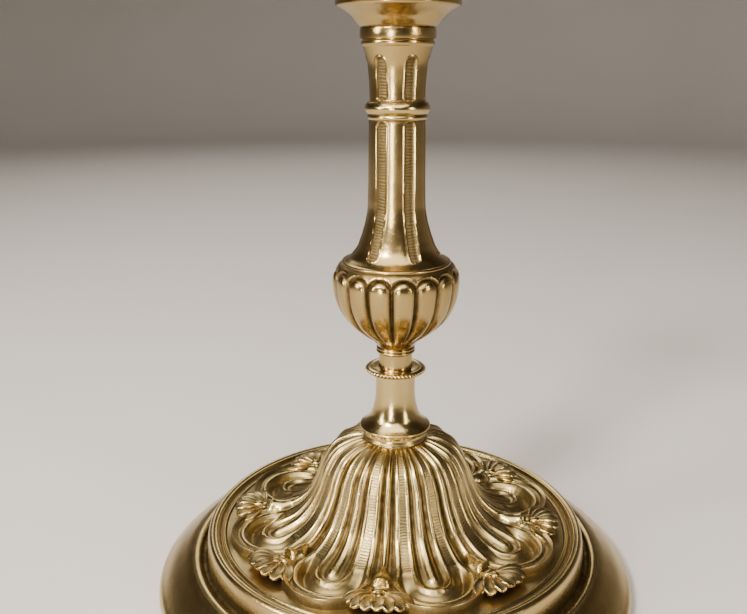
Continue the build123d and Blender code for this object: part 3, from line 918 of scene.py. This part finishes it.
def noise(tree, place, scale, detail=3.0, roughness=0.55):
    """The value of a Noise Texture."""
    return add(tree, "ShaderNodeTexNoise", {"Vector": place, "Scale": scale, "Detail": detail,
               "Roughness": roughness}).outputs[0]


def attribute(tree, name):
    """A named value that the mesh carries."""
    return add(tree, "ShaderNodeAttribute", attribute_name=name).outputs["Fac"]


def group(name, inputs, outputs):
    """An empty node group with sockets, and its two ends."""
    tree = bpy.data.node_groups.new(name, "ShaderNodeTree")
    for key, kind in inputs.items():
        tree.interface.new_socket(key, in_out="INPUT", socket_type=kind)
    for key, kind in outputs.items():
        tree.interface.new_socket(key, in_out="OUTPUT", socket_type=kind)
    return tree, tree.nodes.new("NodeGroupInput").outputs, tree.nodes.new("NodeGroupOutput")


def place_of(tree):
    """Object coordinates in metres."""
    return tree.nodes.new("ShaderNodeTexCoord").outputs["Object"]


# %% Patina group
FLOAT, COLOUR = "NodeSocketFloat", "NodeSocketColor"


def patina_and_shade_group():
    """Colour from bright to dark by stains and by hollow, for patina and painted shade, and
    roughness that follows it.
    """
    tree, given, out = group(
        "patina_and_shade", {"Bright": COLOUR, "Warm": COLOUR, "Dark": COLOUR, "Depth": FLOAT,
                   "Stain": FLOAT, "Polish": FLOAT},
        {"Color": COLOUR, "Roughness": FLOAT})
    place = place_of(tree)
    broad = noise(tree, place, 38.0, 4.0, 0.6)
    fine = noise(tree, place, 420.0, 5.0, 0.7)
    stains = remap(tree, broad, 0.42, 0.72)
    speckle = remap(tree, fine, 0.36, 0.66)
    warm = math_node(tree, "MULTIPLY", stains, given["Stain"], clamp=True)
    colour = blend(tree, warm, given["Bright"], given["Warm"])
    ragged = math_node(tree, "MULTIPLY_ADD", speckle, 0.25, 0.85)
    deep = math_node(tree, "MULTIPLY", attribute(tree, "hollow"), ragged)
    deep = math_node(tree, "MULTIPLY", deep, given["Depth"], clamp=True)
    tree.links.new(blend(tree, deep, colour, given["Dark"]), out.inputs["Color"])
    rough = math_node(tree, "MULTIPLY_ADD", fine, 0.10, given["Polish"])
    rough = math_node(tree, "MULTIPLY_ADD", warm, 0.05, rough)
    tree.links.new(math_node(tree, "MULTIPLY_ADD", deep, 0.30, rough), out.inputs["Roughness"])
    return tree


PATINA_AND_SHADE = patina_and_shade_group()


# %% Wear group
def wear_group():
    """Height in millimetres of casting pits, broad hand polishing waves and fine scratches."""
    tree, given, out = group("wear", {"Pits": FLOAT, "Waves": FLOAT, "Scratches": FLOAT},
                             {"Height": FLOAT})
    place = place_of(tree)
    pits = remap(tree, noise(tree, place, 900.0, 4.0, 0.6), 0.30, 0.50)
    waves = noise(tree, place, 130.0, 2.0, 0.5)
    stretch = add(tree, "ShaderNodeMapping", {"Vector": place, "Rotation": (0.3, 0.2, 0.5),
                  "Scale": (1.0, 9.0, 3.0)}).outputs[0]
    scratch = remap(tree, noise(tree, stretch, 330.0, 6.0, 0.75), 0.52, 0.60)
    height = math_node(tree, "MULTIPLY", pits, given["Pits"])
    height = math_node(tree, "ADD", height, math_node(tree, "MULTIPLY", waves, given["Waves"]))
    scratch = math_node(tree, "MULTIPLY", scratch, given["Scratches"])
    tree.links.new(math_node(tree, "SUBTRACT", height, scratch), out.inputs["Height"])
    return tree


WEAR = wear_group()


# %% Rungs and turning lines
def rungs_group():
    """Height of small bars across the matted bands: a sine of `along`, unevenly struck."""
    tree, given, out = group("rungs", {"Pitch": FLOAT, "Depth": FLOAT},
                             {"Height": FLOAT, "Mask": FLOAT})
    place = place_of(tree)
    matted = attribute(tree, "matted")
    struck = noise(tree, place, 310.0, 3.0, 0.6)
    turns = math_node(tree, "DIVIDE", attribute(tree, "along"), given["Pitch"])
    turns = math_node(tree, "MULTIPLY_ADD", struck, 1.8, turns)
    wave = math_node(tree, "SINE", math_node(tree, "MULTIPLY", turns, 2 * math.pi))
    grain = noise(tree, place, 1500.0, 2.0, 0.6)
    bars = math_node(tree, "MULTIPLY_ADD", wave, 0.5, grain)
    bars = math_node(tree, "MULTIPLY", bars, matted)
    tree.links.new(math_node(tree, "MULTIPLY", bars, given["Depth"]), out.inputs["Height"])
    uneven = remap(tree, noise(tree, place, 190.0, 2.0, 0.5), 0.38, 0.58)
    low = math_node(tree, "MULTIPLY", remap(tree, wave, 0.2, -0.9), matted)
    low = math_node(tree, "MULTIPLY", low, math_node(tree, "MULTIPLY_ADD", uneven, 0.8, 0.3))
    tree.links.new(low, out.inputs["Mask"])
    return tree


def turning_group():
    """Height of the fine rings that a lathe tool leaves: noise of height and radius only."""
    tree, given, out = group("turning", {"Depth": FLOAT}, {"Height": FLOAT})
    xyz = add(tree, "ShaderNodeSeparateXYZ", {0: place_of(tree)}).outputs
    flat = add(tree, "ShaderNodeCombineXYZ", {0: xyz[0], 1: xyz[1]}).outputs[0]
    radius = add(tree, "ShaderNodeVectorMath", {0: flat}, operation="LENGTH").outputs["Value"]
    rings = add(tree, "ShaderNodeCombineXYZ", {0: radius, 2: xyz[2]}).outputs[0]
    lines = noise(tree, rings, 2600.0, 3.0, 0.7)
    tree.links.new(math_node(tree, "MULTIPLY", lines, given["Depth"]), out.inputs["Height"])
    return tree


RUNGS = rungs_group()
TURNING = turning_group()
print("node groups:", [tree.name for tree in bpy.data.node_groups])

# %% [markdown]
# ## Four brasses and a steel
#
# The base is cast, so it has pits, and a deep patina and painted shade in its hollows. The plain
# turned pieces are cleaner and have faint lathe rings. The chased pieces, the nozzle and the pan
# get a darker gold, which paints in a dark reflection of their surroundings.
# All are fully metallic, and none has a clear coat: old brass like this was polished, not
# lacquered.

# %% Brass
PALE_GOLD = (0.56, 0.43, 0.185, 1)
# Painted dark reflection: a darker copy of the gold, for the chased pieces, the nozzle and the pan.
DARK_REFLECTION_GOLD = (0.45, 0.325, 0.130, 1)
WARM_GOLD = (0.37, 0.235, 0.080, 1)
OLIVE_BROWN = (0.070, 0.044, 0.015, 1)
MATT_TAN = (0.21, 0.155, 0.068, 1)


RUNG_PITCH = 0.85           # mm


def metal(name):
    """A fully metallic Principled material: the material, its tree and its shader."""
    material = bpy.data.materials.new(name)
    material.use_nodes = True
    shader = material.node_tree.nodes["Principled BSDF"]
    shader.inputs["Metallic"].default_value = 1.0
    return material, material.node_tree, shader


def finish(tree, shader, colour, rough, height):
    """Links colour, roughness and a bump from a height in millimetres to the shader."""
    bump = add(tree, "ShaderNodeBump", {"Strength": 1.0, "Distance": MM, "Height": height})
    tree.links.new(colour, shader.inputs["Base Color"])
    tree.links.new(rough, shader.inputs["Roughness"])
    tree.links.new(bump.outputs[0], shader.inputs["Normal"])


def brass(name, bright, depth, stain, polish, pits, waves, scratches, lathe, struck=0.09,
          matt=0.8):
    """A brass from the node groups; pits, waves, scratches, lathe and struck are heights in
    mm, depth and stain are shares of dark and warm colour, and polish is the lowest roughness.
    """
    material, tree, shader = metal(name)
    look = add(tree, "ShaderNodeGroup",
               {"Bright": bright, "Warm": WARM_GOLD, "Dark": OLIVE_BROWN, "Depth": depth,
                "Stain": stain, "Polish": polish}, node_tree=PATINA_AND_SHADE)
    worn = add(tree, "ShaderNodeGroup", {"Pits": pits, "Waves": waves, "Scratches": scratches},
               node_tree=WEAR)
    bars = add(tree, "ShaderNodeGroup", {"Pitch": RUNG_PITCH, "Depth": struck},
               node_tree=RUNGS)
    rings = add(tree, "ShaderNodeGroup", {"Depth": lathe}, node_tree=TURNING)
    band = math_node(tree, "MULTIPLY", attribute(tree, "matted"), matt)
    colour = blend(tree, band, look.outputs["Color"], MATT_TAN)
    dark = math_node(tree, "MULTIPLY", bars.outputs["Mask"], 0.65)
    colour = blend(tree, dark, colour, OLIVE_BROWN)
    height = math_node(tree, "ADD", worn.outputs[0], rings.outputs[0])
    height = math_node(tree, "ADD", height, bars.outputs["Height"])
    rough = math_node(tree, "MULTIPLY_ADD", band, 0.25, look.outputs["Roughness"])
    finish(tree, shader, colour, rough, height)
    return material


CAST = brass("cast_brass", PALE_GOLD, depth=0.95, stain=0.60, polish=0.17, pits=0.014,
             waves=0.075, scratches=0.004, lathe=0.0, struck=0.05, matt=0.45)
TURNED = brass("turned_brass", PALE_GOLD, depth=0.80, stain=0.35, polish=0.13, pits=0.003,
               waves=0.05, scratches=0.003, lathe=0.004)
CHASED = brass("chased_brass", DARK_REFLECTION_GOLD, depth=0.95, stain=0.60, polish=0.15, pits=0.005,
               waves=0.085, scratches=0.003, lathe=0.003, struck=0.10)
NOZZLE_BRASS = brass("nozzle_brass", DARK_REFLECTION_GOLD, depth=0.80, stain=0.60, polish=0.12,
                     pits=0.002, waves=0.04, scratches=0.003, lathe=0.004)


# %% Steel for the rod, nut and washer
STEEL_GREY = (0.36, 0.35, 0.33, 1)
RUST_BROWN = (0.15, 0.085, 0.045, 1)
THREAD_PITCH = 0.8 * MM


def steel(name, thread):
    """Grey metal with a brown bloom; `thread` is the height in mm of a wave along Z."""
    material, tree, shader = metal(name)
    place = place_of(tree)
    bloom = remap(tree, noise(tree, place, 240.0, 5.0, 0.65), 0.48, 0.68)
    colour = blend(tree, bloom, STEEL_GREY, RUST_BROWN)
    rough = math_node(tree, "MULTIPLY_ADD", bloom, 0.30, 0.34)
    up = add(tree, "ShaderNodeSeparateXYZ", {0: place}).outputs[2]
    wave = math_node(tree, "SINE", math_node(tree, "MULTIPLY", up, 2 * math.pi / THREAD_PITCH))
    grain = math_node(tree, "MULTIPLY", noise(tree, place, 1600.0), 0.01)
    finish(tree, shader, colour, rough, math_node(tree, "MULTIPLY_ADD", wave, thread, grain))
    return material


FIXING = steel("steel_fixing", 0.0)
THREADED = steel("steel_threaded", 0.12)
print("materials:", [m.name for m in (CAST, TURNED, CHASED, NOZZLE_BRASS, FIXING, THREADED)])


# %% [markdown]
# ## Putting the pieces on the frame
#
# A piece says which body it moves with, which CAD nodes it stands for, and which finish of the
# record it has. The rod, nut and washer keep their CAD shape and only get their steel.

# %% Rides, stand-ins and finishes
PLACING = [
    (casting, STAND, "base", "cast_brass", CAST),
    (mouldings, STAND, "base", "cast_brass", CAST),
    (leaves, STAND, "base", "cast_brass", CAST),
    (foot, STAND, "stem_foot", "turned_brass", TURNED),
    (collar, STAND, "beaded_collar", "turned_brass", TURNED),
    (bulb, STAND, "bulb", "chased_brass", CHASED),
    (shaft, STAND, "shaft", "chased_brass", CHASED),
    (knop, STAND, "knop_ring", "turned_brass", TURNED),
    (capital, STAND, "capital", "chased_brass", CHASED),
    (nozzle, STAND, "nozzle", "nozzle_brass", NOZZLE_BRASS),
    (pan, PAN, "drip_pan", "pan_brass", NOZZLE_BRASS),
]
for piece, body, node, slot, material in PLACING:
    piece.data.materials.append(material)
    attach(piece, body)
    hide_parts(node)

for node, material in {"tie_rod": THREADED, "base_nut": FIXING, "base_washer": FIXING}.items():
    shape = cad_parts[node].data
    shape.materials.clear()
    shape.materials.append(material)
print(len(PLACING), "pieces ride on the frame")

# %% [markdown]
# ## Floor, light and camera
#
# Polished metal shows its surroundings, so the surroundings are part of the look. The floor
# is pale and runs up into a round wall. The wall gets darker with height, which gives the
# brass something dark to mirror. A wide soft light overhead lights the floor and the ledges.
# A square key and a tall window light stand to the left, a narrow strip low on the left draws
# a bright line down the stem, a weak warm one fills the right, and one behind the candlestick
# shines on the floor there.


# %% Floor and wall
FLAT_R = 1.5                # metres, as all of the room is
BEND_R = 0.6
WALL_TOP = 2.2
FLOOR_PALE, FLOOR_PALER = (0.62, 0.58, 0.54, 1), (0.66, 0.62, 0.58, 1)
WALL_BROWN = (0.24, 0.185, 0.155, 1)


def sweep():
    """A floor disc that bends up into a round wall: a quarter circle joins the two."""
    turn = np.linspace(0, np.pi / 2, 17)
    flat = [0.0, 0.25, 0.6, 1.0, 1.3]
    r = np.concatenate([flat, FLAT_R + BEND_R * np.sin(turn), [FLAT_R + BEND_R] * 2])
    z = np.concatenate([[0] * len(flat), BEND_R * (1 - np.cos(turn)), [2 * BEND_R, WALL_TOP]])
    a = np.linspace(0, 2 * np.pi, 96, endpoint=False)[None, :]
    points = np.stack([r[:, None] * np.cos(a), r[:, None] * np.sin(a), z[:, None] + 0 * a],
                      axis=-1) / MM
    thing = grid_mesh("floor", points, {}, wrap_rows=False)
    return thing


def floor_paint():
    """Pale matt paint that turns brown between heights of 0.1 and 1.2 m on the wall."""
    material = bpy.data.materials.new("floor_paint")
    material.use_nodes = True
    tree = material.node_tree
    shader = tree.nodes["Principled BSDF"]
    shader.inputs["Roughness"].default_value = 0.75
    place = place_of(tree)
    up = add(tree, "ShaderNodeSeparateXYZ", {0: place}).outputs[2]
    pale = blend(tree, noise(tree, place, 6.0), FLOOR_PALE, FLOOR_PALER)
    colour = blend(tree, remap(tree, up, 0.10, 1.2), pale, WALL_BROWN)
    tree.links.new(colour, shader.inputs["Base Color"])
    return material


floor = sweep()
floor.data.materials.append(floor_paint())


# %% Lights
STEM_MIDDLE = (0, 0, 0.09)
FLOOR_BEHIND = (0, 0.5, 0)
SOFT_WHITE, WARM_WHITE = (1.0, 0.95, 0.88), (1.0, 0.88, 0.74)
ROOM_GREY = (0.34, 0.31, 0.26, 1)


def soft_light(name, place, target, size, power, spread, colour=SOFT_WHITE):
    """A rectangular area light at `place` that faces `target`.

    size is its width and height in metres, power is in watts, and spread is the whole angle
    in degrees that its light fans out to.
    """
    lamp = bpy.data.lights.new(name, "AREA")
    lamp.shape = "RECTANGLE"
    lamp.size, lamp.size_y = size
    lamp.energy = power
    lamp.spread = math.radians(spread)
    lamp.color = colour
    thing = bpy.data.objects.new(name, lamp)
    thing.location = place
    way = Vector(target) - Vector(place)
    thing.rotation_euler = way.to_track_quat("-Z", "Y").to_euler()
    bpy.context.scene.collection.objects.link(thing)
    return thing


soft_light("key", (-0.50, -0.70, 0.80), STEM_MIDDLE, (0.22, 0.22), 6.0, 120)
soft_light("window", (-0.90, -0.42, 0.45), STEM_MIDDLE, (0.16, 0.5), 3.0, 120)
soft_light("strip", (-0.35, -0.92, 0.10), STEM_MIDDLE, (0.09, 0.50), 3.2, 120)
soft_light("fill", (0.76, -0.60, 0.35), STEM_MIDDLE, (0.12, 0.5), 1.6, 120, WARM_WHITE)
soft_light("top", (-0.15, -0.40, 0.90), STEM_MIDDLE, (1.1, 0.9), 9.5, 150)
soft_light("back", (-0.2, 1.1, 0.9), FLOOR_BEHIND, (0.9, 0.5), 1.8, 110)

world = bpy.data.worlds.new("room")
bpy.context.scene.world = world
world.use_nodes = True
room = world.node_tree.nodes["Background"].inputs
room["Color"].default_value = ROOM_GREY
room["Strength"].default_value = 0.20

# %% Camera
CAMERA_PLACE = (0, -0.2455, 0.1623)
LOOKS_DOWN, LOOKS_LEFT = 16.41, 1.57    # degrees
FOCAL_LENGTH = 41.18                    # mm, on a frame 36 mm wide

camera = bpy.data.objects.new("camera", bpy.data.cameras.new("camera"))
camera.data.sensor_width = 36.0
camera.data.lens = FOCAL_LENGTH
camera.data.clip_start = 0.01
camera.location = CAMERA_PLACE
camera.rotation_euler = (math.radians(90 - LOOKS_DOWN), 0, math.radians(LOOKS_LEFT))
bpy.context.scene.collection.objects.link(camera)
bpy.context.scene.camera = camera
